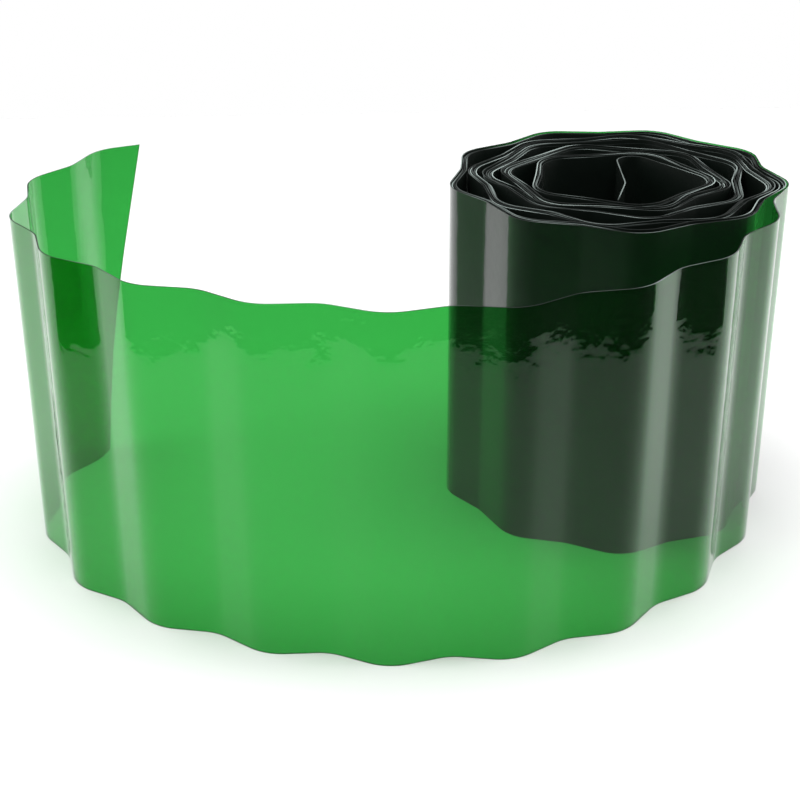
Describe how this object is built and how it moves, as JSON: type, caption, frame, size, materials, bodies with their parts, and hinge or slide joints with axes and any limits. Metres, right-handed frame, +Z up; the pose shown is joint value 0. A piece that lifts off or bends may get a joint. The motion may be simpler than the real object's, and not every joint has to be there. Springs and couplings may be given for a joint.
{
  "type": "plastic lawn edging",
  "caption": "Wavy plastic lawn edging: a thin strip standing on its long edge, most of it wound into a lobed coil with an open bore, the free end swung round in front.",
  "frame": {"origin": "centre of the whole strip's box, on the floor", "axes": "+X along the longest side, from the free end towards the coil; +Y from the free tail in front towards the back; +Z up, across the strip"},
  "size_m": [0.3328, 0.227, 0.15],
  "materials": {
    "green_plastic": "glossy, see-through where one layer thick"
  },
  "bodies": {
    "root": {"edging_strip": "green_plastic"}
  },
  "joints": []
}
